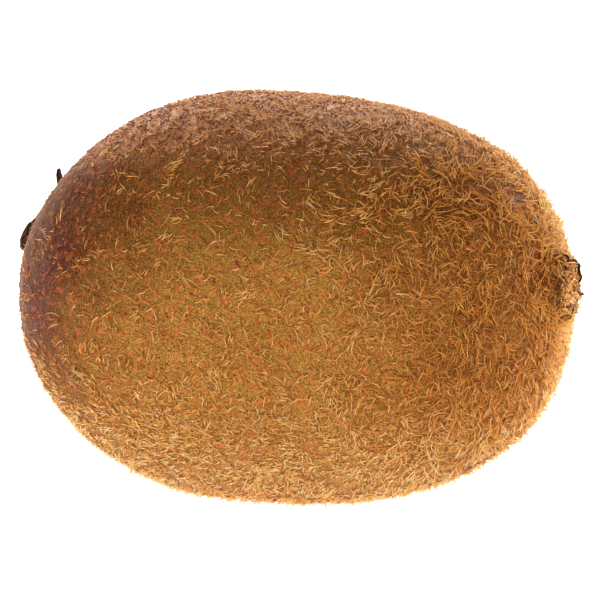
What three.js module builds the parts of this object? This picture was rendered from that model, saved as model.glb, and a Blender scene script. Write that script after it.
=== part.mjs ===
import * as THREE from 'three';

// A whole kiwi fruit lying on its side, with the dried flower parts that it keeps at its two ends.
// +X points to the blossom end, -X to the stalk end and +Z up. Lengths are in millimetres.
// The fruit grew as one piece: body, stalk scar and corky blossom-end nub are one solid.

// The fruit
const HALF_LENGTH = 31.8;       // middle of the fruit to either end, without the nub
const HALF_WIDTH = 25;
const HALF_HEIGHT = 23.3;
const STALK_FULLNESS = 2.07;    // superellipsoid power towards each end: 2 is an ellipsoid, and
const BLOSSOM_FULLNESS = 2.53;  // the blossom end is the blunter one
const SECTION_FULLNESS = 2.1;   // the same power round the cross-section
const TAPER = 0.04;             // the stalk half is this much thicker, the blossom half thinner
const PRESSED_FLAT = 0.4;       // depth of the small flat spot on the side it rests on
const STALK_END_LIFT = degrees(15);    // how far above the long axis each end sits
const BLOSSOM_END_LIFT = degrees(5.5);

// The two ends, measured over the surface from the middle of each
const HOLLOW_DEPTH = 1.3;       // shallow hollow that the stalk grew from
const HOLLOW_RADIUS = 5.5;
const SCAR_RISE = 0.7;          // corky scar in the middle of the hollow
const SCAR_RADIUS = 2.0;
const NUB_HEIGHT = 2.1;         // corky nub that the styles grew from
const NUB_TOP_RADIUS = 2.3;
const NUB_FOOT_RADIUS = 5.0;
const PIT_DEPTH = 0.6;          // small pit in the top of the nub
const PIT_RADIUS = 1.0;

// The fruit's mesh
const SEGMENTS_AROUND = 56;
const RINGS = 52;
const END_CROWDING = 0.22;      // 0 spaces the rings evenly, more draws them towards the ends
const SMALL_ANGLE = 0.01;       // step that finds which way the surface faces

// The dried sepals round the stalk scar, and the dried styles on the nub
const CLEARANCE = 0.3;          // gap between pieces that lie on each other
const SEPAL_START = 2.4;        // middle of the scar to the foot of a sepal
const SEPAL_THICKNESS = 0.6;
const SEPAL_FACETS = 12;        // around and along each blade
const SEPALS = [                // direction round the scar, length, half width, lift of the tip
  { turn: degrees(99), length: 3.3, halfWidth: 0.8, curl: 1.2 },
  { turn: degrees(222), length: 3.0, halfWidth: 2.1, curl: 0.7 },
  { turn: degrees(284), length: 4.4, halfWidth: 1.9, curl: 0.9 },
  { turn: degrees(340), length: 5.0, halfWidth: 2.0, curl: 1.0 },
  { turn: degrees(38), length: 4.6, halfWidth: 1.9, curl: 0.8 },
];
const STYLE_RADIUS = 0.2;
const STYLE_POINTS = 7;         // on the centre line of each thread
const STYLE_STEPS = 12;         // lengths that its mesh is cut into
const STYLE_SIDES = 8;
const STYLES = [                // direction round the nub, where it starts and ends, sweep and arch
  { turn: degrees(20), from: 0.8, to: 2.9, sweep: degrees(95), arch: 0 },
  { turn: degrees(97), from: 3.0, to: 4.0, sweep: degrees(14), arch: 0.4 },
  { turn: degrees(168), from: 1.4, to: 4.2, sweep: degrees(16), arch: 0.1 },
  { turn: degrees(214), from: 1.6, to: 4.6, sweep: degrees(-12), arch: 0.1 },
  { turn: degrees(252), from: 1.4, to: 4.2, sweep: degrees(20), arch: 0 },
  { turn: degrees(300), from: 1.5, to: 4.6, sweep: degrees(-14), arch: 0.1 },
  { turn: degrees(330), from: 1.4, to: 4.0, sweep: degrees(20), arch: 0 },
  { turn: degrees(30), from: 2.2, to: 4.8, sweep: degrees(-16), arch: 0.1 },
];

function degrees(angle) {
  return THREE.MathUtils.degToRad(angle);
}

// Direction from the middle of the fruit to its surface. across is the angle from the blossom end,
// 0 to PI, and turn the angle round the fruit, a quarter turn being up. Both ends are lifted.
function outward(across, turn) {
  const plain = new THREE.Vector3(
    Math.cos(across),
    Math.sin(across) * Math.cos(turn),
    Math.sin(across) * Math.sin(turn),
  );
  const lift = THREE.MathUtils.lerp(BLOSSOM_END_LIFT, -STALK_END_LIFT, (1 - Math.cos(across)) / 2);
  return plain.applyAxisAngle(new THREE.Vector3(0, -1, 0), lift);
}

function bodyRadius(direction) {
  const towardsBlossom = THREE.MathUtils.smoothstep(direction.x, -1, 1);
  const fullness = THREE.MathUtils.lerp(STALK_FULLNESS, BLOSSOM_FULLNESS, towardsBlossom);
  const girth = 1 - TAPER * direction.x;
  const section = (Math.abs(direction.y) / (HALF_WIDTH * girth)) ** SECTION_FULLNESS
    + (Math.abs(direction.z) / (HALF_HEIGHT * girth)) ** SECTION_FULLNESS;
  const along = (Math.abs(direction.x) / HALF_LENGTH) ** fullness;
  return (section ** (fullness / SECTION_FULLNESS) + along) ** (-1 / fullness);
}

// 1 inside the inner radius, falling smoothly to 0 at the outer one
function plateau(distance, inner, outer) {
  return 1 - THREE.MathUtils.smoothstep(distance, inner, outer);
}

function stalkEndRelief(distance) {
  const hollow = HOLLOW_DEPTH * Math.exp(-((distance / HOLLOW_RADIUS) ** 2));
  return SCAR_RISE * plateau(distance, SCAR_RADIUS / 2, SCAR_RADIUS) - hollow;
}

function blossomEndRelief(distance) {
  const nub = NUB_HEIGHT * plateau(distance, NUB_TOP_RADIUS, NUB_FOOT_RADIUS);
  return nub - PIT_DEPTH * plateau(distance, 0, PIT_RADIUS);
}

function surfacePoint(across, turn) {
  const direction = outward(across, turn);
  const radius = bodyRadius(direction);
  const relief = blossomEndRelief(radius * across) + stalkEndRelief(radius * (Math.PI - across));
  const point = direction.multiplyScalar(radius + relief);
  point.z = Math.max(point.z, PRESSED_FLAT - HALF_HEIGHT);
  return point;
}

// A point that stands a height above the surface, along the direction the surface faces there
function abovePoint(across, turn, height) {
  const here = surfacePoint(across, turn);
  const alongStep = surfacePoint(across + SMALL_ANGLE, turn).sub(here);
  const aroundStep = surfacePoint(across, turn + SMALL_ANGLE).sub(here);
  const facing = alongStep.cross(aroundStep).normalize();
  return here.addScaledVector(facing, height);
}

function fruitGeometry() {
  const geometry = new THREE.SphereGeometry(1, SEGMENTS_AROUND, RINGS).rotateZ(-Math.PI / 2);
  const position = geometry.getAttribute('position');
  for (let i = 0; i < position.count; i++) {
    const even = Math.acos(THREE.MathUtils.clamp(position.getX(i), -1, 1));
    const across = even - END_CROWDING * Math.sin(2 * even);
    const turn = Math.atan2(position.getZ(i), position.getY(i));
    const point = surfacePoint(across, turn);
    position.setXYZ(i, point.x, point.y, point.z);
  }
  return geometry;
}

// A thin pointed blade that leaves the scar along the surface and curls up towards its tip
function sepalGeometry({ turn, length, halfWidth, curl }) {
  const geometry = new THREE.SphereGeometry(1, SEPAL_FACETS, SEPAL_FACETS);
  const position = geometry.getAttribute('position');
  for (let i = 0; i < position.count; i++) {
    const along = (position.getY(i) + 1) / 2;
    const distance = SEPAL_START + length * along;
    const sideways = position.getX(i) * halfWidth / distance;
    const height = CLEARANCE + SEPAL_THICKNESS / 2 * (1 + position.getZ(i)) + curl * along ** 2;
    const point = abovePoint(Math.PI - distance / HALF_LENGTH, turn + sideways, height);
    position.setXYZ(i, point.x, point.y, point.z);
  }
  return geometry;
}

// A dried thread that lies over the nub in a low arch
function styleGeometry({ turn, from, to, sweep, arch }) {
  const points = [];
  for (let i = 0; i < STYLE_POINTS; i++) {
    const along = i / (STYLE_POINTS - 1);
    const distance = THREE.MathUtils.lerp(from, to, along);
    const height = CLEARANCE + STYLE_RADIUS + arch * Math.sin(Math.PI * along);
    points.push(abovePoint(distance / HALF_LENGTH, turn + sweep * along, height));
  }
  const round = new THREE.Shape().absarc(0, 0, STYLE_RADIUS, 0, 2 * Math.PI);
  return new THREE.ExtrudeGeometry(round, {
    curveSegments: STYLE_SIDES / 2,
    steps: STYLE_STEPS,
    extrudePath: new THREE.CatmullRomCurve3(points),
  });
}

function skinMaterial() {
  return new THREE.MeshStandardMaterial({ color: 0x9a6a34, roughness: 0.85, metalness: 0 });
}

function sepalMaterial() {
  return new THREE.MeshStandardMaterial({ color: 0x3d2414, roughness: 0.8, metalness: 0 });
}

function styleMaterial() {
  return new THREE.MeshStandardMaterial({ color: 0x1f130c, roughness: 0.7, metalness: 0 });
}

function piece(name, geometry, material) {
  const mesh = new THREE.Mesh(geometry, material);
  mesh.name = name;
  return mesh;
}

const kiwi = new THREE.Group();
kiwi.add(piece('fruit', fruitGeometry(), skinMaterial()));
SEPALS.forEach((sepal, i) => {
  kiwi.add(piece(`sepal_${i + 1}`, sepalGeometry(sepal), sepalMaterial()));
});
STYLES.forEach((style, i) => {
  kiwi.add(piece(`style_${i + 1}`, styleGeometry(style), styleMaterial()));
});

// The origin is the middle of the base of the whole object's box, so the flat spot lies on z = 0.
const box = new THREE.Box3().setFromObject(kiwi, true);
const middle = box.getCenter(new THREE.Vector3());
kiwi.position.set(-middle.x, -middle.y, -box.min.z);

export default kiwi;
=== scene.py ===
from math import cos, pi, radians, sin

import bpy
import numpy as np
from mathutils import Matrix, Vector


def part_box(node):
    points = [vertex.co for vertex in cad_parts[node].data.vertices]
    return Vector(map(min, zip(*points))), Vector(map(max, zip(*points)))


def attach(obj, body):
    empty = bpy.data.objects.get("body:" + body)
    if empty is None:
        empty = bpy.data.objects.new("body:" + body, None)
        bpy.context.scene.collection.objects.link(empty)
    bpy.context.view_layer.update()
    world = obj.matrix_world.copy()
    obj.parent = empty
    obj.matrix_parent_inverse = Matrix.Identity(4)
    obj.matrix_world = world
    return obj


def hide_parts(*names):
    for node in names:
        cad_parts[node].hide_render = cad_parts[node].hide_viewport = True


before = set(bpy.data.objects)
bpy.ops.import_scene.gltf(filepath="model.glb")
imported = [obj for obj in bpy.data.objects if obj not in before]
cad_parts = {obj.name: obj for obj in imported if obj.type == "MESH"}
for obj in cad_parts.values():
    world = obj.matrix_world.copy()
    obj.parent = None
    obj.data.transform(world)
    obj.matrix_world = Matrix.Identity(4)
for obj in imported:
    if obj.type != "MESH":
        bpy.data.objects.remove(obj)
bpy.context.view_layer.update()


# ---------------------------------------------------------------------------------------------
# The fruit. One body that grew whole: a blunt oval, a little thicker towards the stalk, with a
# shallow hollow and a corky scar where the stalk broke off and a corky nub at the blossom end.
# ---------------------------------------------------------------------------------------------
MM = 0.001
HALF_LENGTH, HALF_WIDTH, HALF_HEIGHT = 31.8 * MM, 25.0 * MM, 23.3 * MM
STALK_FULLNESS, BLOSSOM_FULLNESS, SECTION_FULLNESS = 2.07, 2.53, 2.1
TAPER = 0.04
PRESSED_FLAT = 0.4 * MM
STALK_END_LIFT, BLOSSOM_END_LIFT = radians(15), radians(5.5)
HOLLOW_DEPTH, HOLLOW_RADIUS = 1.3 * MM, 5.5 * MM
SCAR_RISE, SCAR_RADIUS = 0.7 * MM, 2.0 * MM
NUB_HEIGHT, NUB_TOP_RADIUS, NUB_FOOT_RADIUS = 2.1 * MM, 2.3 * MM, 5.0 * MM
PIT_DEPTH, PIT_RADIUS = 0.6 * MM, 1.0 * MM

fruit_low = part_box("fruit")[0]
MIDDLE = np.array([fruit_low.x + HALF_LENGTH, 0.0, HALF_HEIGHT - PRESSED_FLAT])


def smooth(value, low, high):
    t = np.clip((np.asarray(value, float) - low) / (high - low), 0, 1)
    return t * t * (3 - 2 * t)


def unit(vectors):
    return vectors / np.linalg.norm(vectors, axis=-1, keepdims=True)


def outward(across, turn):
    """Direction from the middle of the fruit: across runs from the blossom end to the stalk end."""
    across, turn = np.broadcast_arrays(across, turn)
    x, y, z = np.cos(across), np.sin(across) * np.cos(turn), np.sin(across) * np.sin(turn)
    lift = BLOSSOM_END_LIFT - (BLOSSOM_END_LIFT + STALK_END_LIFT) * (1 - np.cos(across)) / 2
    return np.stack([x * np.cos(lift) - z * np.sin(lift), y, x * np.sin(lift) + z * np.cos(lift)], -1)


NUB_AXIS, SCAR_AXIS = outward(0.0, 0.0), outward(pi, 0.0)


def waves(places, size, count, seed):
    """Smooth unevenness between about -1 and 1, from crossing ripples of about this size."""
    rng = np.random.default_rng(seed)
    total = np.zeros(places.shape[:-1])
    for _ in range(count):
        way = unit(rng.normal(size=3))
        total += np.sin(places @ way * (2 * pi / (size * rng.uniform(0.7, 1.4))) + rng.uniform(0, 2 * pi))
    return total / np.sqrt(count)


def body_radius(direction):
    x, y, z = np.moveaxis(direction, -1, 0)
    fullness = STALK_FULLNESS + (BLOSSOM_FULLNESS - STALK_FULLNESS) * smooth(x, -1, 1)
    girth = 1 - TAPER * x
    section = (abs(y) / (HALF_WIDTH * girth)) ** SECTION_FULLNESS
    section = section + (abs(z) / (HALF_HEIGHT * girth)) ** SECTION_FULLNESS
    along = (abs(x) / HALF_LENGTH) ** fullness
    return (section ** (fullness / SECTION_FULLNESS) + along) ** (-1 / fullness)


def end_distances(direction):
    """How far over the skin it is to the middle of the nub and of the stalk scar."""
    radius = body_radius(direction)
    to_nub = np.arccos(np.clip(direction @ NUB_AXIS, -1, 1)) * radius
    to_scar = np.arccos(np.clip(direction @ SCAR_AXIS, -1, 1)) * radius
    return to_nub, to_scar


def smooth_radius(direction):
    """From the middle of the fruit to its surface, with the relief of the two ends."""
    to_nub, to_scar = end_distances(direction)
    nub = NUB_HEIGHT * (1 - smooth(to_nub, NUB_TOP_RADIUS, NUB_FOOT_RADIUS))
    pit = PIT_DEPTH * (1 - smooth(to_nub, 0, PIT_RADIUS))
    hollow = HOLLOW_DEPTH * np.exp(-(to_scar / HOLLOW_RADIUS) ** 2)
    scar = SCAR_RISE * (1 - smooth(to_scar, SCAR_RADIUS / 2, SCAR_RADIUS))
    return body_radius(direction) + nub - pit + scar - hollow


# The skin's unevenness: depth, size, number of ripples and seed
LUMPS = 0.07 * MM, 17 * MM, 14, 3
PUCKER = 0.02 * MM, 2.2 * MM, 24, 4
CORK = 0.14 * MM, 0.9 * MM, 30, 5
CORK_FULL, CORK_EDGE, NUB_CORK_EXTRA = 1.6 * MM, 2.4 * MM, 2.6 * MM


def relief(places, depth, size, count, seed):
    return depth * waves(places, size, count, seed)


def skin_point(direction):
    """Point on the skin in this direction from the middle of the fruit."""
    radius = smooth_radius(direction)
    to_nub, to_scar = end_distances(direction)
    plain = direction * radius[..., None]
    corky = 1 - smooth(np.minimum(to_nub - NUB_CORK_EXTRA, to_scar), CORK_FULL, CORK_EDGE)
    uneven = relief(plain, *LUMPS) + relief(plain, *PUCKER) + corky * relief(plain, *CORK)
    point = MIDDLE + plain + direction * uneven[..., None]
    point[..., 2] = np.maximum(point[..., 2], 0)
    return point


def fast_mesh(name, verts, groups):
    """An object from arrays: points, and groups of faces with their places on the map."""
    mesh = bpy.data.meshes.new(name)
    loops = np.concatenate([faces.ravel() for faces, _ in groups])
    uvs = np.concatenate([uv.reshape(-1, 2) for _, uv in groups])
    sizes = np.concatenate([np.full(len(faces), faces.shape[1]) for faces, _ in groups])
    mesh.vertices.add(len(verts))
    mesh.vertices.foreach_set("co", np.ascontiguousarray(verts, np.float32).ravel())
    mesh.loops.add(len(loops))
    mesh.loops.foreach_set("vertex_index", loops.astype(np.int32))
    mesh.polygons.add(len(sizes))
    mesh.polygons.foreach_set("loop_start", (np.cumsum(sizes) - sizes).astype(np.int32))
    mesh.uv_layers.new(name="OFBake").data.foreach_set("uv", uvs.astype(np.float32).ravel())
    mesh.update(calc_edges=True)
    mesh.validate()
    mesh.shade_smooth()
    piece = bpy.data.objects.new(name, mesh)
    bpy.context.scene.collection.objects.link(piece)
    return piece


def corners(*places):
    """Map places of a face's corners, one after another."""
    return np.stack([np.stack(np.broadcast_arrays(u, v), -1) for u, v in places], -2)


def grid_mesh(name, grid, start, end):
    """A closed skin over rings of points, with one point at each end, and a map for its patterns."""
    rings, around = grid.shape[:2]
    verts = np.concatenate([grid.reshape(-1, 3), [start, end]])
    ring, step = np.meshgrid(np.arange(rings - 1), np.arange(around), indexing="ij")
    ring, step = ring.ravel(), step.ravel()
    after = (step + 1) % around
    quads = np.stack([ring * around + step, ring * around + after,
                      (ring + 1) * around + after, (ring + 1) * around + step], -1)
    u0, u1 = step / around, (step + 1) / around
    v0, v1 = (ring + 1) / (rings + 1), (ring + 2) / (rings + 1)
    quad_uv = corners((u0, v0), (u1, v0), (u1, v1), (u0, v1))
    turn = np.arange(around)
    after = (turn + 1) % around
    first, last = rings * around, rings * around + 1
    tips = np.concatenate([
        np.stack([np.full(around, first), after, turn], -1),
        np.stack([np.full(around, last), (rings - 1) * around + turn, (rings - 1) * around + after], -1)])
    u0, u1 = turn / around, (turn + 1) / around
    low, high = 1 / (rings + 1), rings / (rings + 1)
    tip_uv = np.concatenate([corners(((u0 + u1) / 2, 0.0), (u1, low), (u0, low)),
                             corners(((u0 + u1) / 2, 1.0), (u0, high), (u1, high))])
    return fast_mesh(name, verts, [(quads, quad_uv), (tips, tip_uv)])


class Finish:
    """A node material under construction: a Principled shader and short ways to feed it."""

    def __init__(self, name, roughness, **constants):
        self.material = bpy.data.materials.new(name)
        self.material.use_nodes = True
        self.tree = self.material.node_tree
        self.shader = self.tree.nodes["Principled BSDF"]
        self.shader.inputs["Roughness"].default_value = roughness
        for socket, value in constants.items():
            self.shader.inputs[socket.replace("_", " ")].default_value = value
        self.place = self.tree.nodes.new("ShaderNodeTexCoord").outputs["Object"]

    def node(self, kind, inputs=None, **settings):
        node = self.tree.nodes.new("ShaderNode" + kind)
        for key, value in settings.items():
            setattr(node, key, value)
        for key, value in (inputs or {}).items():
            if isinstance(value, bpy.types.NodeSocket):
                self.tree.links.new(value, node.inputs[key])
            else:
                node.inputs[key].default_value = value
        return node

    def noise(self, size, detail=2.0, roughness=0.5, where=None):
        return self.node("TexNoise", {"Vector": where or self.place, "Scale": 1 / size,
                                      "Detail": detail, "Roughness": roughness}).outputs["Fac"]

    def between(self, value, low, high, to_low=0.0, to_high=1.0):
        return self.node("MapRange", {"Value": value, "From Min": low, "From Max": high,
                                      "To Min": to_low, "To Max": to_high},
                         interpolation_type="SMOOTHSTEP").outputs["Result"]

    def math(self, operation, a, b=0.0):
        return self.node("Math", {0: a, 1: b}, operation=operation).outputs[0]

    def mix(self, amount, a, b):
        return self.node("Mix", {0: amount, 6: a, 7: b}, data_type="RGBA").outputs[2]

    def colour(self, socket):
        self.tree.links.new(socket, self.shader.inputs["Base Color"])

    def rough(self, socket):
        self.tree.links.new(socket, self.shader.inputs["Roughness"])

    def bump(self, height, depth, strength=1.0):
        bump = self.node("Bump", {"Height": height, "Distance": depth, "Strength": strength})
        self.tree.links.new(bump.outputs["Normal"], self.shader.inputs["Normal"])


def rgb(red, green, blue):
    """A colour from its display values, 0 to 255."""
    value = np.array([red, green, blue]) / 255
    linear = np.where(value <= 0.04045, value / 12.92, ((value + 0.055) / 1.055) ** 2.4)
    return (*linear.tolist(), 1.0)


# Each part of the skin has a ground colour, and pale and dark grains in it. Not all of it is the
# skin's own colour: the shoulder's dark red-brown is partly its own and partly painted shade,
# the darker band over the upper half is painted shade, and the crown's pale colour is a painted
# highlight, the sheen that the light from behind puts on the top. A zone says where its part
# starts and where it is full, and then its share at each of them. It is measured from the middle
# of the fruit, or for the nub's foot and the cork, from the middle of that end.
OLIVE = rgb(146, 100, 40), rgb(186, 142, 72), rgb(98, 58, 20)
SHOULDER_AND_SHADE = rgb(68, 22, 6), rgb(122, 55, 21), rgb(26, 7, 2)
BLOSSOM = rgb(126, 76, 28), rgb(170, 114, 50), rgb(70, 36, 10)
BELLY = rgb(156, 104, 48), rgb(212, 170, 106), rgb(86, 44, 15)
CROWN_HIGHLIGHT = rgb(166, 106, 62), rgb(218, 160, 106), rgb(90, 40, 16)
SHEEN = rgb(255, 208, 146)
RUST, RUST_PALE, RUST_DARK = rgb(170, 78, 38), rgb(192, 106, 60), rgb(104, 28, 10)
NUB_FOOT = rgb(100, 42, 14)
CORK_PALE, CORK_BROWN, CORK_DARK = rgb(214, 150, 74), rgb(128, 70, 28), rgb(44, 18, 8)
BLOSSOM_ZONE = 13 * MM, 28 * MM, 0, 0.75
BELLY_ZONE = -4 * MM, -19 * MM, 0, 0.8
SHOULDER_ZONE, LOW_SHOULDER_ZONE = (-1.5 * MM, -24.5 * MM), (-20 * MM, 0, 0.35, 1)
SHOULDER_LEAN = 0, 12 * MM, 0, 5.5 * MM
UPPER_SHADE_ZONE = 8 * MM, 15 * MM, 0, 0.4
CROWN_HIGHLIGHT_ZONE, CROWN_TILT = (17.5 * MM, 22.5 * MM, 0, 0.85), 0.15
NUB_FOOT_ZONE, CORK_ZONE = (8 * MM, 5 * MM, 0, 0.6), (4.2 * MM, 3.0 * MM)
NUB_CORK_REACH, RAGGED_EDGE = 1.2 * MM, 2.4 * MM
CLOUD_SIZE, CLOUD_REACH, CLOUD_DEPTH = 7 * MM, 6 * MM, 0.25
GRAIN_SIZE, DARK_GRAIN_SIZE, GRAIN_DEPTH = 0.15 * MM, 0.17 * MM, 0.8
STAIN_SPACING, STAIN_STIR, STIR_SIZE = 0.95 * MM, 0.9 * MM, 0.45 * MM
STAIN_DEPTH, STAIN_DEPTH_AT_ENDS, HEART_DEPTH = 0.75, 0.45, 0.75
SKIN_RELIEF = 0.05 * MM


def skin_finish():
    skin = Finish("kiwi_skin", 0.5, Specular_IOR_Level=0.035, Sheen_Weight=0.19, Sheen_Roughness=0.25)
    skin.shader.inputs["Sheen Tint"].default_value = SHEEN
    skin.shader.inputs["Specular Tint"].default_value = rgb(255, 190, 150)
    middle = skin.node("VectorMath", {0: skin.place, 1: tuple(-MIDDLE)}, operation="ADD").outputs[0]
    axis = skin.node("SeparateXYZ", {0: middle}).outputs
    clouds = skin.between(skin.noise(CLOUD_SIZE, 4), 0.32, 0.68)
    lengthwise = skin.math("ADD", axis["X"], skin.math("MULTIPLY", clouds, CLOUD_REACH))
    blossom = skin.between(lengthwise, *BLOSSOM_ZONE)
    belly = skin.between(axis["Z"], *BELLY_ZONE)
    # The shoulder mask: partly the shoulder's own dark colour, partly painted shade on the upper left
    lean = skin.between(axis["Z"], *SHOULDER_LEAN)
    shoulder_and_shade = skin.between(skin.math("SUBTRACT", lengthwise, lean), *SHOULDER_ZONE)
    shoulder_and_shade = skin.math("MULTIPLY", shoulder_and_shade, skin.between(axis["Z"], *LOW_SHOULDER_ZONE))
    # and the painted shade of the band over the upper half
    shoulder_and_shade = skin.math("MAXIMUM", shoulder_and_shade, skin.between(axis["Z"], *UPPER_SHADE_ZONE))
    # The crown mask places a painted highlight: paler skin where the light from behind hits the top
    high = skin.math("SUBTRACT", axis["Z"], skin.math("MULTIPLY", axis["X"], CROWN_TILT))
    crown = skin.between(high, *CROWN_HIGHLIGHT_ZONE)
    ground, pale, dark = (
        skin.mix(crown, skin.mix(shoulder_and_shade, skin.mix(belly, skin.mix(blossom, a, b), c), d), e)
        for a, b, c, d, e in zip(OLIVE, BLOSSOM, BELLY, SHOULDER_AND_SHADE, CROWN_HIGHLIGHT))
    colour = skin.mix(skin.math("MULTIPLY", clouds, CLOUD_DEPTH), ground, dark)
    grain = skin.between(skin.noise(GRAIN_SIZE, 0), 0.46, 0.66)
    colour = skin.mix(skin.math("MULTIPLY", grain, GRAIN_DEPTH), colour, pale)
    dark_grain = skin.between(skin.noise(DARK_GRAIN_SIZE, 0), 0.48, 0.68)
    colour = skin.mix(skin.math("MULTIPLY", dark_grain, GRAIN_DEPTH), colour, dark)
    # Rusty stains where hairs have broken off, most with a dark heart
    stir = skin.node("TexNoise", {"Vector": skin.place, "Scale": 1 / STIR_SIZE, "Detail": 1.0})
    stirred = skin.node("VectorMath", {0: stir.outputs["Color"], 1: (STAIN_STIR,) * 3, 2: skin.place},
                        operation="MULTIPLY_ADD").outputs[0]
    spots = skin.node("TexVoronoi", {"Vector": stirred, "Scale": 1 / STAIN_SPACING})
    from_spot = spots.outputs["Distance"]
    kept = skin.between(skin.noise(2.2 * MM, 1), 0.3, 0.48)
    stain = skin.between(from_spot, 0.44, 0.22)
    depth = skin.between(skin.math("MAXIMUM", blossom, shoulder_and_shade), 0, 1, STAIN_DEPTH, STAIN_DEPTH_AT_ENDS)
    rust = skin.mix(skin.between(skin.noise(0.35 * MM, 1), 0.42, 0.58), RUST, RUST_PALE)
    colour = skin.mix(skin.math("MULTIPLY", skin.math("MULTIPLY", stain, kept), depth), colour, rust)
    heart = skin.math("MULTIPLY", skin.between(from_spot, 0.19, 0.06), kept)
    colour = skin.mix(skin.math("MULTIPLY", heart, HEART_DEPTH), colour, RUST_DARK)
    # Cork at the two ends, and darker skin round the foot of the nub
    to_nub, to_scar = (skin.node("VectorMath", {0: skin.place, 1: tuple(skin_point(way))},
                                 operation="DISTANCE").outputs["Value"] for way in (NUB_AXIS, SCAR_AXIS))
    colour = skin.mix(skin.between(to_nub, *NUB_FOOT_ZONE), colour, NUB_FOOT)
    fibres = skin.between(skin.noise(0.5 * MM, 4, 0.7), 0.38, 0.62)
    cork = skin.mix(fibres, CORK_BROWN, CORK_PALE)
    holes = skin.between(skin.noise(0.8 * MM, 2), 0.42, 0.34)
    cork = skin.mix(holes, cork, CORK_DARK)
    near = skin.math("MINIMUM", skin.math("SUBTRACT", to_nub, NUB_CORK_REACH), to_scar)
    ragged = skin.math("MULTIPLY", skin.noise(1.2 * MM, 3), RAGGED_EDGE)
    corky = skin.between(skin.math("ADD", near, ragged), *CORK_ZONE)
    skin.colour(skin.mix(corky, colour, cork))
    skin.rough(skin.between(clouds, 0, 1, 0.5, 0.62))
    skin.bump(skin.math("ADD", grain, skin.math("MULTIPLY", stain, 1.5)), SKIN_RELIEF, 0.7)
    return skin.material


SKIN_RINGS, SKIN_STEPS, END_CROWDING = 310, 300, 0.2
even = np.linspace(0, pi, SKIN_RINGS + 2)[1:-1]
across = even - END_CROWDING * np.sin(2 * even)
turns = np.arange(SKIN_STEPS) * 2 * pi / SKIN_STEPS
skin = grid_mesh("kiwi_skin", skin_point(outward(across[:, None], turns[None, :])),
                 skin_point(NUB_AXIS), skin_point(SCAR_AXIS))
skin.data.materials.append(skin_finish())
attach(skin, "root")
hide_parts("fruit")


# ---------------------------------------------------------------------------------------------
# The fuzz. Stiff golden hairs that grow in small tufts and lie along the skin: thick over the
# blossom end and the belly, thin over the middle, and rubbed off round the stalk end.
# ---------------------------------------------------------------------------------------------
HAIR_RINGS, HAIR_SIDES, ROOT_DEPTH = 6, 3, 0.04 * MM
SHADE_COLUMNS = 32


def facing(direction):
    """The direction that the fruit faces here, and two directions along its skin."""
    step = 1e-3
    side = unit(np.cross(direction, [0.0, 0.0, 1.0]) + 1e-9)
    rise = np.cross(side, direction)
    here = direction * smooth_radius(direction)[..., None]
    by_side, by_rise = unit(direction + step * side), unit(direction + step * rise)
    along_side = by_side * smooth_radius(by_side)[..., None] - here
    along_rise = by_rise * smooth_radius(by_rise)[..., None] - here
    normal = unit(np.cross(along_rise, along_side))
    normal = normal * np.sign(np.sum(normal * direction, -1, keepdims=True))
    first = unit(along_side)
    return normal, first, np.cross(normal, first)


def strand_piece(name, centres, radii, up, shades, sides=HAIR_SIDES, flatness=1.0):
    """Many thin tapered strands as one mesh. Each takes its own column of the shade map."""
    count, rings = centres.shape[:2]
    tangent = unit(np.gradient(centres, axis=1))
    side = unit(np.cross(tangent, up))
    over = np.cross(side, tangent)
    angle = np.arange(sides) * 2 * pi / sides + pi / 2
    offset = (np.cos(angle)[:, None] * side[:, :, None]
              + flatness * np.sin(angle)[:, None] * over[:, :, None])
    verts = centres[:, :, None] + offset * radii[:, :, None, None]
    index = np.arange(count * rings * sides).reshape(count, rings, sides)
    after = np.roll(index, -1, 2)
    quads = np.stack([index[:, :-1], after[:, :-1], after[:, 1:], index[:, 1:]], -1).reshape(-1, 4)
    column = np.floor(shades * (SHADE_COLUMNS - 1e-6)) / SHADE_COLUMNS
    u0 = column[:, None, None] + np.arange(sides) / sides / SHADE_COLUMNS
    v0 = (np.arange(rings - 1) / (rings - 1))[None, :, None]
    u1, v1 = u0 + 1 / sides / SHADE_COLUMNS, v0 + 1 / (rings - 1)
    quad_uv = corners((u0, v0), (u1, v0), (u1, v1), (u0, v1)).reshape(-1, 4, 2)
    foot, tip = index[:, 0, ::-1], index[:, -1]
    ends = np.concatenate([foot, tip])
    spread = np.arange(sides) / sides / SHADE_COLUMNS
    lift = np.where(np.arange(sides) % 2 == 0, 0.0, 0.06)
    foot_uv = np.stack([column[:, None] + spread, np.broadcast_to(lift, (count, sides))], -1)
    tip_uv = np.stack([column[:, None] + spread, np.broadcast_to(1 - lift, (count, sides))], -1)
    return fast_mesh(name, verts.reshape(-1, 3),
                     [(quads, quad_uv), (ends, np.concatenate([foot_uv, tip_uv]))])


def scatter(rng, density, tries):
    """Places on the skin, so many for each square millimetre as density says."""
    direction = unit(rng.normal(size=(tries, 3)))
    radius = body_radius(direction)
    normal = facing(direction)[0]
    area = 4 * pi * radius ** 2 / np.sum(normal * direction, -1) / MM ** 2
    return direction[rng.random(tries) < area * density(direction, radius) / tries]


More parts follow.
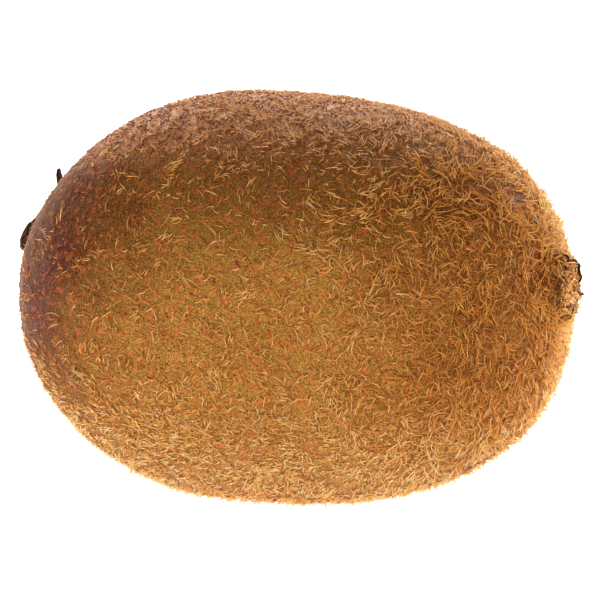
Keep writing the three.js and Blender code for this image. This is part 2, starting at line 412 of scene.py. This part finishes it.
def strands(rng, name, roots, heading, length, bend, kinks, rise, slope, thick, shades,
            rings=HAIR_RINGS, taper=0.8, flatness=1.0):
    """Hairs that leave the skin at their roots and follow it, bending as they go."""
    first, second = facing(roots)[1:]
    along = np.linspace(0, 1, rings)
    kink = rng.normal(0, kinks, (len(roots), rings)).cumsum(1)
    way = heading[:, None] + bend[:, None] * (along - 0.3) + kink
    stride = length[:, None] / (rings - 1)
    run = np.cumsum(np.cos(way) * stride, 1) - np.cos(way[:, :1]) * stride
    drift = np.cumsum(np.sin(way) * stride, 1) - np.sin(way[:, :1]) * stride
    flat = roots * smooth_radius(roots)[:, None]
    direction = unit(flat[:, None] + run[..., None] * first[:, None] + drift[..., None] * second[:, None])
    height = rise[:, None] * (1 - np.exp(-along * 5)) + slope[:, None] * along ** 1.5 - ROOT_DEPTH
    up = facing(direction)[0]
    centres = skin_point(direction) + height[..., None] * up
    centres[..., 2] = np.maximum(centres[..., 2], thick[:, None])
    radii = thick[:, None] * (1 - taper * along ** 1.6)
    return strand_piece(name, centres, radii, up, shades, flatness=flatness)


NUB_BARE, SCAR_BARE, RESTING_HEIGHT = (2.3 * MM, 3.6 * MM), (3 * MM, 9 * MM), 0.7 * MM


def off_the_ends(direction, radius):
    """0 on the nub, the scar and the spot that the fruit rests on, and 1 where fuzz grows."""
    to_nub, to_scar = end_distances(direction)
    resting = (direction * radius[:, None])[:, 2] < RESTING_HEIGHT - HALF_HEIGHT
    return smooth(to_nub, *NUB_BARE) * smooth(to_scar, *SCAR_BARE) * ~resting


# Hairs on each square millimetre: all over, and how many more or fewer there are in each part
HAIRS, BLOSSOM_HAIRS, NUB_HAIRS, BELLY_HAIRS, CROWN_HAIRS = 2.1, 3.8, 3.5, 5.2, 2.4
FAR_SIDE_HAIRS, BAND_HAIRS_LOST = 0.6, 0.8


def fuzz_density(direction, radius):
    x, y, z = np.moveaxis(direction * radius[:, None], -1, 0)
    blossom = smooth(x, 8 * MM, 23 * MM)
    belly = smooth(-z, 0, 13 * MM)
    crown = smooth(z, 16.5 * MM, 22 * MM) * smooth(x, -26 * MM, -6 * MM)
    far_side = smooth(y, -6 * MM, 14 * MM)
    bare = 1 - 0.82 * smooth(-x, 3 * MM, 26 * MM) * (1 - 0.8 * belly)
    patchy = 0.9 + 0.25 * waves(direction * radius[:, None], 7 * MM, 12, 11)
    band = smooth(z, 6 * MM, 11 * MM) * smooth(-y, -6 * MM, 0)
    by_nub = 1 - smooth(end_distances(direction)[0], 5 * MM, 9 * MM)
    hairs = HAIRS - BAND_HAIRS_LOST * band + BLOSSOM_HAIRS * blossom + NUB_HAIRS * by_nub
    elsewhere = BELLY_HAIRS * belly + CROWN_HAIRS * crown + FAR_SIDE_HAIRS * far_side
    hairs = hairs + (1 - blossom) * elsewhere
    return np.clip(hairs * bare * patchy, 0.1, None) * off_the_ends(direction, radius)


def strand_finish(name, foot, shades):
    """Hair, darker at its foot. Its shades run over the shade map from one side to the other."""
    hair = Finish(name, 0.45, Specular_IOR_Level=0.18, Sheen_Weight=0.18, Sheen_Roughness=0.35)
    hair.shader.inputs["Sheen Tint"].default_value = SHEEN
    spot = hair.node("SeparateXYZ", {0: hair.node("UVMap", uv_map="OFBake").outputs["UV"]}).outputs
    ramp = hair.node("ValToRGB", {0: spot["X"]})
    stops = ramp.color_ramp.elements
    stops[0].color, stops[1].color = shades[0], shades[-1]
    for number, shade in enumerate(shades[1:-1], 1):
        stops.new(number / (len(shades) - 1)).color = shade
    hair.colour(hair.mix(hair.between(spot["Y"], 0.02, 0.35), foot, ramp.outputs["Color"]))
    hair.rough(hair.between(spot["Y"], 0, 1, 0.55, 0.38))
    return hair.material


FUZZ = strand_finish("fuzz", rgb(128, 60, 22), [
    rgb(112, 42, 14), rgb(164, 88, 30), rgb(208, 134, 50),
    rgb(232, 170, 84), rgb(250, 220, 156), rgb(236, 174, 112)])
TUFT_SIZES, TUFT_CHANCES = (1, 2, 3, 4, 6), (0.36, 0.26, 0.18, 0.12, 0.08)
TUFT_MEAN = float(np.dot(TUFT_SIZES, TUFT_CHANCES))
TUFT_SPREAD, TUFT_TRIES = 0.32 * MM, 90000
HAIR_LENGTH, SHORTEST, LONGEST = 1.25, 0.5 * MM, 3.2 * MM
PIECE_LIMIT = 5600


def in_pieces(along_fruit):
    """Numbers from 1, each with the strands of one piece, from one end of the fruit to the other."""
    order = np.argsort(along_fruit)
    return enumerate(np.array_split(order, -(-len(order) // PIECE_LIMIT)), 1)


rng = np.random.default_rng(21)
tufts = scatter(rng, lambda *place: fuzz_density(*place) / TUFT_MEAN, TUFT_TRIES)
in_tuft = rng.choice(TUFT_SIZES, len(tufts), p=TUFT_CHANCES)
roots = np.repeat(tufts, in_tuft, 0)
flow = 2.6 * waves(tufts * HALF_HEIGHT, 14 * MM, 10, 12)
tuft_heading = np.repeat(flow + rng.normal(0, 1.3, len(tufts)), in_tuft)
tuft_length = np.repeat(rng.lognormal(-0.05, 0.32, len(tufts)), in_tuft)
tuft_bend = np.repeat(rng.normal(0, 0.8, len(tufts)), in_tuft)
roots = unit(roots + rng.normal(0, TUFT_SPREAD / HALF_HEIGHT, roots.shape))
x, y, z = np.moveaxis(roots * body_radius(roots)[:, None], -1, 0)
blossom, belly = smooth(x, 12 * MM, 28 * MM), smooth(-z, 3 * MM, 18 * MM)
crown, stalk = smooth(z, 12 * MM, 20 * MM), smooth(-x, 10 * MM, 26 * MM)
length = HAIR_LENGTH + 0.3 * blossom - 0.5 * belly - 0.35 * crown - 0.45 * stalk
length = length * MM * tuft_length
length = np.clip(length * rng.normal(1, 0.12, len(roots)), SHORTEST, LONGEST)
heading = tuft_heading + rng.normal(0, 0.2, len(roots))
bend = tuft_bend + rng.normal(0, 0.3, len(roots)) * (1 + blossom)
rise = rng.uniform(0.1, 0.3, len(roots)) * MM * (1 + 0.7 * blossom)
slope = rng.gamma(1.6, 0.13, len(roots)) * MM * (1 + 1.0 * blossom + 0.4 * belly)
finer = 1 - 0.2 * np.maximum(np.maximum(belly, stalk), crown)
thick = rng.uniform(0.045, 0.085, len(roots)) * finer * MM
far_side = smooth(y, -8 * MM, 6 * MM)
# Belly hairs are paler; paler still towards the stalk end, a painted highlight on the lower outline
shade = rng.uniform(0.35, 0.9, len(roots)) + 0.2 * belly * (1 + stalk)
# Paler on the blossom end's far side, darker on its near side: painted rim glow and painted shade
shade = np.clip(shade + (0.34 * far_side - 0.16) * blossom * (1 - belly), 0, 1)
pinkish = rng.random(len(roots)) < 0.8 * smooth(z, 16 * MM, 21 * MM) * (1 - blossom)
shade = np.where(pinkish, 0.9 + 0.1 * shade, 0.8 * shade)
for number, some in in_pieces(x):
    fuzz = strands(rng, f"fuzz_{number}", roots[some], heading[some], length[some], bend[some], 0.14,
                   rise[some], slope[some], thick[some], shade[some])
    fuzz.data.materials.append(FUZZ)
    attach(fuzz, "root")


# ---------------------------------------------------------------------------------------------
# The broken hairs. Short rusty stubs that the rubbed-off fuzz leaves lying on the skin, most of
# them over the crown.
# ---------------------------------------------------------------------------------------------
STUBS = strand_finish("broken_hairs", rgb(90, 28, 10), [
    rgb(96, 30, 10), rgb(146, 58, 20), rgb(176, 86, 34), rgb(204, 124, 62)])


# Stubs on each square millimetre: all over, and more of them in two parts
PLAIN_STUBS, STALK_STUBS, CROWN_STUBS = 0.8, 0.1, 2.4
STUB_LENGTH, STUB_TRIES = 0.55, 60000


def stub_density(direction, radius):
    x, y, z = np.moveaxis(direction * radius[:, None], -1, 0)
    stalk = smooth(-x, 4 * MM, 22 * MM)
    crown = smooth(z, 12 * MM, 21 * MM)
    return (PLAIN_STUBS + STALK_STUBS * stalk + CROWN_STUBS * crown) * off_the_ends(direction, radius)


rng = np.random.default_rng(22)
stub_roots = scatter(rng, stub_density, STUB_TRIES)
count = len(stub_roots)
on_crown = smooth(stub_roots[:, 2], 0.5, 0.85)
heading = rng.uniform(0, 2 * pi, count)
bend = rng.normal(0, 0.8, count)
length = rng.lognormal(0, 0.35, count) * STUB_LENGTH * MM
thick = rng.uniform(0.06, 0.11, count) * MM
rise = (rng.uniform(0.05, 0.14, count) + 0.1 * on_crown) * MM
slope = rng.gamma(1.2, 0.06, count) * MM
# Stubs on the crown are darker: partly painted shade of the hair tips there
shade = rng.random(count) * (1 - 0.3 * on_crown)
for number, some in in_pieces(stub_roots[:, 0]):
    stubs = strands(rng, f"broken_hairs_{number}", stub_roots[some], heading[some], length[some],
                    bend[some], 0.2, rise[some], slope[some], thick[some], shade[some],
                    rings=4, taper=0.6, flatness=0.6)
    stubs.data.materials.append(STUBS)
    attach(stubs, "root")


# ---------------------------------------------------------------------------------------------
# The nub's fibres. The dried filaments of the flower, matted round the corky nub like tow, and
# brown clots at its foot.
# ---------------------------------------------------------------------------------------------
TOW = strand_finish("tow", rgb(120, 64, 24), [
    rgb(104, 52, 18), rgb(156, 92, 38), rgb(200, 136, 68), rgb(222, 166, 96), rgb(238, 198, 136)])
FIBRES, FIBRES_FROM, FIBRES_TO = 220, 0.3 * MM, 3.1 * MM

rng = np.random.default_rng(31)
place = FIBRES_FROM + (FIBRES_TO - FIBRES_FROM) * np.sqrt(rng.random(FIBRES))
roots = outward(place / HALF_LENGTH, rng.uniform(0, 2 * pi, FIBRES))
normal, first, second = facing(roots)
round_nub = unit(np.cross(normal, NUB_AXIS))
heading = np.arctan2(np.sum(round_nub * second, -1), np.sum(round_nub * first, -1))
heading = heading + rng.normal(0, 0.35, FIBRES) + pi * rng.integers(0, 2, FIBRES)
fibres = strands(rng, "nub_fibres", roots, heading, rng.uniform(0.6, 1.6, FIBRES) * MM,
                 rng.normal(0.1, 0.3, FIBRES), 0.08, rng.uniform(0.02, 0.2, FIBRES) * MM,
                 rng.gamma(1.2, 0.06, FIBRES) * MM, rng.uniform(0.09, 0.26, FIBRES) * MM,
                 rng.random(FIBRES), rings=9, taper=0.85, flatness=0.35)
fibres.data.materials.append(TOW)
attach(fibres, "root")


# The clots are the rotted stumps of filaments, on the near side of the nub's foot
CLOTS = strand_finish("clots", rgb(58, 26, 10), [rgb(52, 20, 8), rgb(96, 46, 20), rgb(138, 76, 36)])
CLOT_COUNT, CLOT_DISTANCE, CLOT_TURN = 60, 3.1, radians(172)
rng = np.random.default_rng(34)
place = rng.normal(CLOT_DISTANCE, 0.35, CLOT_COUNT) * MM
roots = outward(place / HALF_LENGTH, CLOT_TURN + rng.normal(0, 0.6, CLOT_COUNT))
clots = strands(rng, "nub_clots", roots, rng.uniform(0, 2 * pi, CLOT_COUNT),
                rng.uniform(0.3, 0.9, CLOT_COUNT) * MM, rng.normal(0, 0.6, CLOT_COUNT), 0.3,
                rng.uniform(0.12, 0.4, CLOT_COUNT) * MM, rng.gamma(1.2, 0.1, CLOT_COUNT) * MM,
                rng.uniform(0.07, 0.17, CLOT_COUNT) * MM, rng.random(CLOT_COUNT), rings=5, taper=0.5)
clots.data.materials.append(CLOTS)
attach(clots, "root")


# ---------------------------------------------------------------------------------------------
# The dried styles. Near-black threads, all that is left of the flower's middle. One lies in an
# arc over the nub, one stands clear of the fuzz, and the rest are matted down.
# ---------------------------------------------------------------------------------------------
STYLE_RINGS, STYLE_SIDES, STYLE_LIFT = 30, 8, 0.16
STYLE_BLACK, STYLE_BROWN = rgb(30, 14, 7), rgb(100, 54, 24)


def style_finish():
    thread = Finish("dried_style", 0.6, Specular_IOR_Level=0.1)
    patches = thread.between(thread.noise(0.5 * MM, 3), 0.44, 0.66)
    thread.colour(thread.mix(patches, STYLE_BLACK, STYLE_BROWN))
    creases = thread.noise(0.12 * MM, 3)
    thread.rough(thread.between(creases, 0.3, 0.7, 0.45, 0.75))
    thread.bump(creases, 0.05 * MM)
    return thread.material


# Direction round the nub, where it starts and ends in mm from the nub's middle, how far round it
# sweeps, how high it arches, and half its thickness at each end
STYLES = [
    (-4, 2.0, 3.0, 118, 0.15, 0.17, 0.24), (100, 2.8, 3.5, 10, 0.65, 0.18, 0.06),
    (168, 1.4, 4.0, 16, -0.3, 0.05, 0.1), (214, 1.6, 4.4, -12, -0.35, 0.05, 0.1),
    (252, 1.4, 4.2, 20, -0.1, 0.08, 0.16), (300, 1.5, 4.0, -14, -0.35, 0.1, 0.08),
    (330, 1.4, 4.0, 20, 0.0, 0.18, 0.07), (30, 2.2, 4.8, -16, 0.1, 0.16, 0.08),
]
STYLE = style_finish()
rng = np.random.default_rng(32)
for number, (turn, start, end, sweep, arch, thick_start, thick_end) in enumerate(STYLES, 1):
    along = np.linspace(0, 1, STYLE_RINGS)
    distance = (start + (end - start) * along) * MM
    wander = 0.06 * np.sin(2 * pi * (along * rng.uniform(1, 2) + rng.random()))
    direction = outward(distance / HALF_LENGTH, radians(turn) + radians(sweep) * along + wander)
    up = facing(direction)[0]
    radii = thick_start + (thick_end - thick_start) * along
    rounded_ends = np.sqrt(np.sin(pi * (0.02 + 0.96 * along)))
    radii = radii * (1 + 0.08 * rng.normal(size=STYLE_RINGS)) * rounded_ends
    height = STYLE_LIFT + radii / 2 + arch * np.sin(pi * along) + max(arch, 0) * along / 4
    centres = skin_point(direction) + (height * MM)[:, None] * up
    thread = strand_piece(f"dried_style_{number}", centres[None], radii[None] * MM, up[None],
                          np.full(1, 0.5), sides=STYLE_SIDES)
    thread.data.materials.append(STYLE)
    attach(thread, "root")
    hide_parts(f"style_{number}")


# ---------------------------------------------------------------------------------------------
# The dried sepals. Small brown blades, brittle as dead leaf, that grew round the stalk and have
# curled up off the skin. They are joined to the fruit at the edge of the scar.
# ---------------------------------------------------------------------------------------------
SEPAL_START, SEPAL_THICKNESS, SEPAL_LIFT = 2.4 * MM, 0.24 * MM, 0.12
SEPAL_ROWS, SEPAL_AROUND = 44, 28
SEPAL_DARK, SEPAL_BROWN, SEPAL_PALE = rgb(44, 24, 12), rgb(86, 52, 26), rgb(140, 96, 54)


def sepal_finish():
    blade = Finish("dried_sepal", 0.75, Specular_IOR_Level=0.25)
    spot = blade.node("UVMap", uv_map="OFBake").outputs["UV"]
    streaks = blade.node("VectorMath", {0: spot, 1: (60.0, 4.0, 1.0)}, operation="MULTIPLY").outputs[0]
    veins = blade.between(blade.noise(1.0, 3, 0.6, where=streaks), 0.5, 0.68)
    patches = blade.between(blade.noise(0.7 * MM, 4), 0.4, 0.65)
    colour = blade.mix(patches, SEPAL_DARK, SEPAL_BROWN)
    blade.colour(blade.mix(blade.math("MULTIPLY", veins, 0.7), colour, SEPAL_PALE))
    blade.rough(blade.between(patches, 0, 1, 0.6, 0.85))
    blade.bump(blade.math("ADD", veins, blade.noise(0.2 * MM, 3)), 0.06 * MM)
    return blade.material


# Direction round the scar, length, half width, how far the tip curls up, cupping, and how blunt
# the tip is
SEPALS = [
    (99, 3.4, 1.0, 1.5, 0.3, 8.0), (222, 3.1, 3.5, 1.15, 0.2, 6.0), (284, 4.4, 1.9, 0.9, 0.5, 1.6),
    (340, 5.0, 2.0, 1.0, 0.6, 1.4), (38, 4.6, 1.9, 0.8, 0.5, 1.6),
]
SEPAL = sepal_finish()


def by_scar(distance, turn, sideways, height):
    """Points at a distance from the scar's middle, off to one side, and above the skin."""
    direction = outward(pi - distance / HALF_LENGTH, turn + sideways / distance)
    return skin_point(direction) + height[..., None] * facing(direction)[0]


for number, (turn, length, half_width, curl, cup, blunt) in enumerate(SEPALS, 1):
    along = np.linspace(0.02, 0.995, SEPAL_ROWS)[:, None]
    around = (np.arange(SEPAL_AROUND) * 2 * pi / SEPAL_AROUND)[None, :]
    side, thick = np.cos(around), np.sin(around)
    flat = np.stack(np.broadcast_arrays(along * length, side * half_width, 0.0 * side * along), -1)
    ragged = waves(flat, 0.9, 10, 40 + number)
    waist = 0.55 + 0.45 * np.sin(pi * np.minimum(along * 1.4, 0.5))
    width = half_width * (1 - along ** blunt) ** 0.5 * waist
    width = width * (1 + 0.12 * ragged * abs(side))
    distance = SEPAL_START + length * (along + 0.03 * ragged * abs(side) * along) * MM
    crumple = 0.12 * waves(flat, 1.3, 8, 50 + number) * along
    height = SEPAL_LIFT + crumple + cup * side ** 2 * along + curl * along ** 2
    height = height * MM + SEPAL_THICKNESS / 2 * thick * (1 - 0.5 * along) + SEPAL_THICKNESS / 2
    grid = by_scar(distance, radians(turn), side * width * MM, height)
    blade = grid_mesh(f"dried_sepal_{number}", grid, grid[0].mean(0), grid[-1].mean(0))
    blade.data.materials.append(SEPAL)
    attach(blade, "root")
    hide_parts(f"sepal_{number}")


# ---------------------------------------------------------------------------------------------
# The surroundings. A white sweep that curves up all round and glows, so that it takes no
# shadow, soft lights that stand mostly behind the fruit, and the camera.
# ---------------------------------------------------------------------------------------------
SWEEP_FLAT, SWEEP_CURVE, SWEEP_TOP, SWEEP_SIDES = 1.3, 0.3, 0.4, 96
SWEEP_GLOW, ROOM_GLOW = 1.31, 0.05
profile = [(0.0, 0.0), (SWEEP_FLAT / 2, 0.0), (SWEEP_FLAT, 0.0)]
profile += [(SWEEP_FLAT + SWEEP_CURVE * sin(a), SWEEP_CURVE * (1 - cos(a)))
            for a in np.linspace(0, pi / 2, 13)[1:]]
profile += [(SWEEP_FLAT + SWEEP_CURVE, SWEEP_TOP)]
sweep_mesh = bpy.data.meshes.new("sweep")
verts = [(0, 0, 0)] + [(r * cos(2 * pi * k / SWEEP_SIDES), r * sin(2 * pi * k / SWEEP_SIDES), z)
                       for r, z in profile[1:] for k in range(SWEEP_SIDES)]
faces = [(0, 1 + k, 1 + (k + 1) % SWEEP_SIDES) for k in range(SWEEP_SIDES)]
for ring in range(len(profile) - 2):
    a, b = 1 + ring * SWEEP_SIDES, 1 + (ring + 1) * SWEEP_SIDES
    faces += [(a + k, b + k, b + (k + 1) % SWEEP_SIDES, a + (k + 1) % SWEEP_SIDES)
              for k in range(SWEEP_SIDES)]
sweep_mesh.from_pydata(verts, [], faces)
sweep_mesh.shade_smooth()
sweep = bpy.data.objects.new("sweep", sweep_mesh)
bpy.context.scene.collection.objects.link(sweep)
paper = Finish("white_sweep", 0.9, Specular_IOR_Level=0.1)
paper.shader.inputs["Base Color"].default_value = (0.9, 0.9, 0.9, 1)
paper.shader.inputs["Emission Color"].default_value = (1, 1, 1, 1)
paper.shader.inputs["Emission Strength"].default_value = SWEEP_GLOW
sweep.data.materials.append(paper.material)

world = bpy.data.worlds.new("studio")
bpy.context.scene.world = world
world.use_nodes = True
background = world.node_tree.nodes["Background"]
background.inputs["Color"].default_value = (1, 1, 1, 1)
background.inputs["Strength"].default_value = ROOM_GLOW


def around_fruit(turn, height, distance):
    """A place round the fruit: turn from its near side towards its blossom end, and height."""
    return Vector(MIDDLE) + distance * Vector((sin(turn) * cos(height), -cos(turn) * cos(height),
                                               sin(height)))


LIGHT_DISTANCE = 0.7
WHITE, WARM = (1.0, 1.0, 1.0), (1.0, 0.94, 0.83)


def softbox(name, turn, height, size, power, tint=WHITE):
    light = bpy.data.lights.new(name, "AREA")
    light.shape = "SQUARE"
    light.size = size
    light.energy = power
    light.color = tint
    box = bpy.data.objects.new(name, light)
    box.location = around_fruit(radians(turn), radians(height), LIGHT_DISTANCE)
    box.rotation_euler = (Vector(MIDDLE) - box.location).to_track_quat("-Z", "Y").to_euler()
    bpy.context.scene.collection.objects.link(box)


softbox("back_top_light", 202, 36, 0.5, 12.6, WARM)
softbox("front_light", 20, 20, 0.15, 0.9)
softbox("blossom_light", 156, 14, 0.3, 3.9)
softbox("stalk_light", 250, -2, 0.3, 2.0)

VIEW_TURN, VIEW_HEIGHT = radians(20), radians(11)
CAMERA_DISTANCE, LENS, SENSOR = 0.6, 313.2, 36.0
AIM_RIGHT, AIM_DOWN = 1.06 * MM, 0.36 * MM
camera = bpy.data.objects.new("camera", bpy.data.cameras.new("camera"))
bpy.context.scene.collection.objects.link(camera)
right = Vector((cos(VIEW_TURN), sin(VIEW_TURN), 0))
towards = around_fruit(VIEW_TURN, VIEW_HEIGHT, 1.0) - Vector(MIDDLE)
aim = Vector(MIDDLE) + right * AIM_RIGHT - towards.cross(right) * AIM_DOWN
camera.location = aim + towards * CAMERA_DISTANCE
camera.rotation_euler = towards.to_track_quat("Z", "Y").to_euler()
camera.data.sensor_width = SENSOR
camera.data.lens = LENS
camera.data.clip_start = 0.01
camera.data.clip_end = 20
bpy.context.scene.camera = camera
bpy.context.scene.view_settings.view_transform = "Standard"
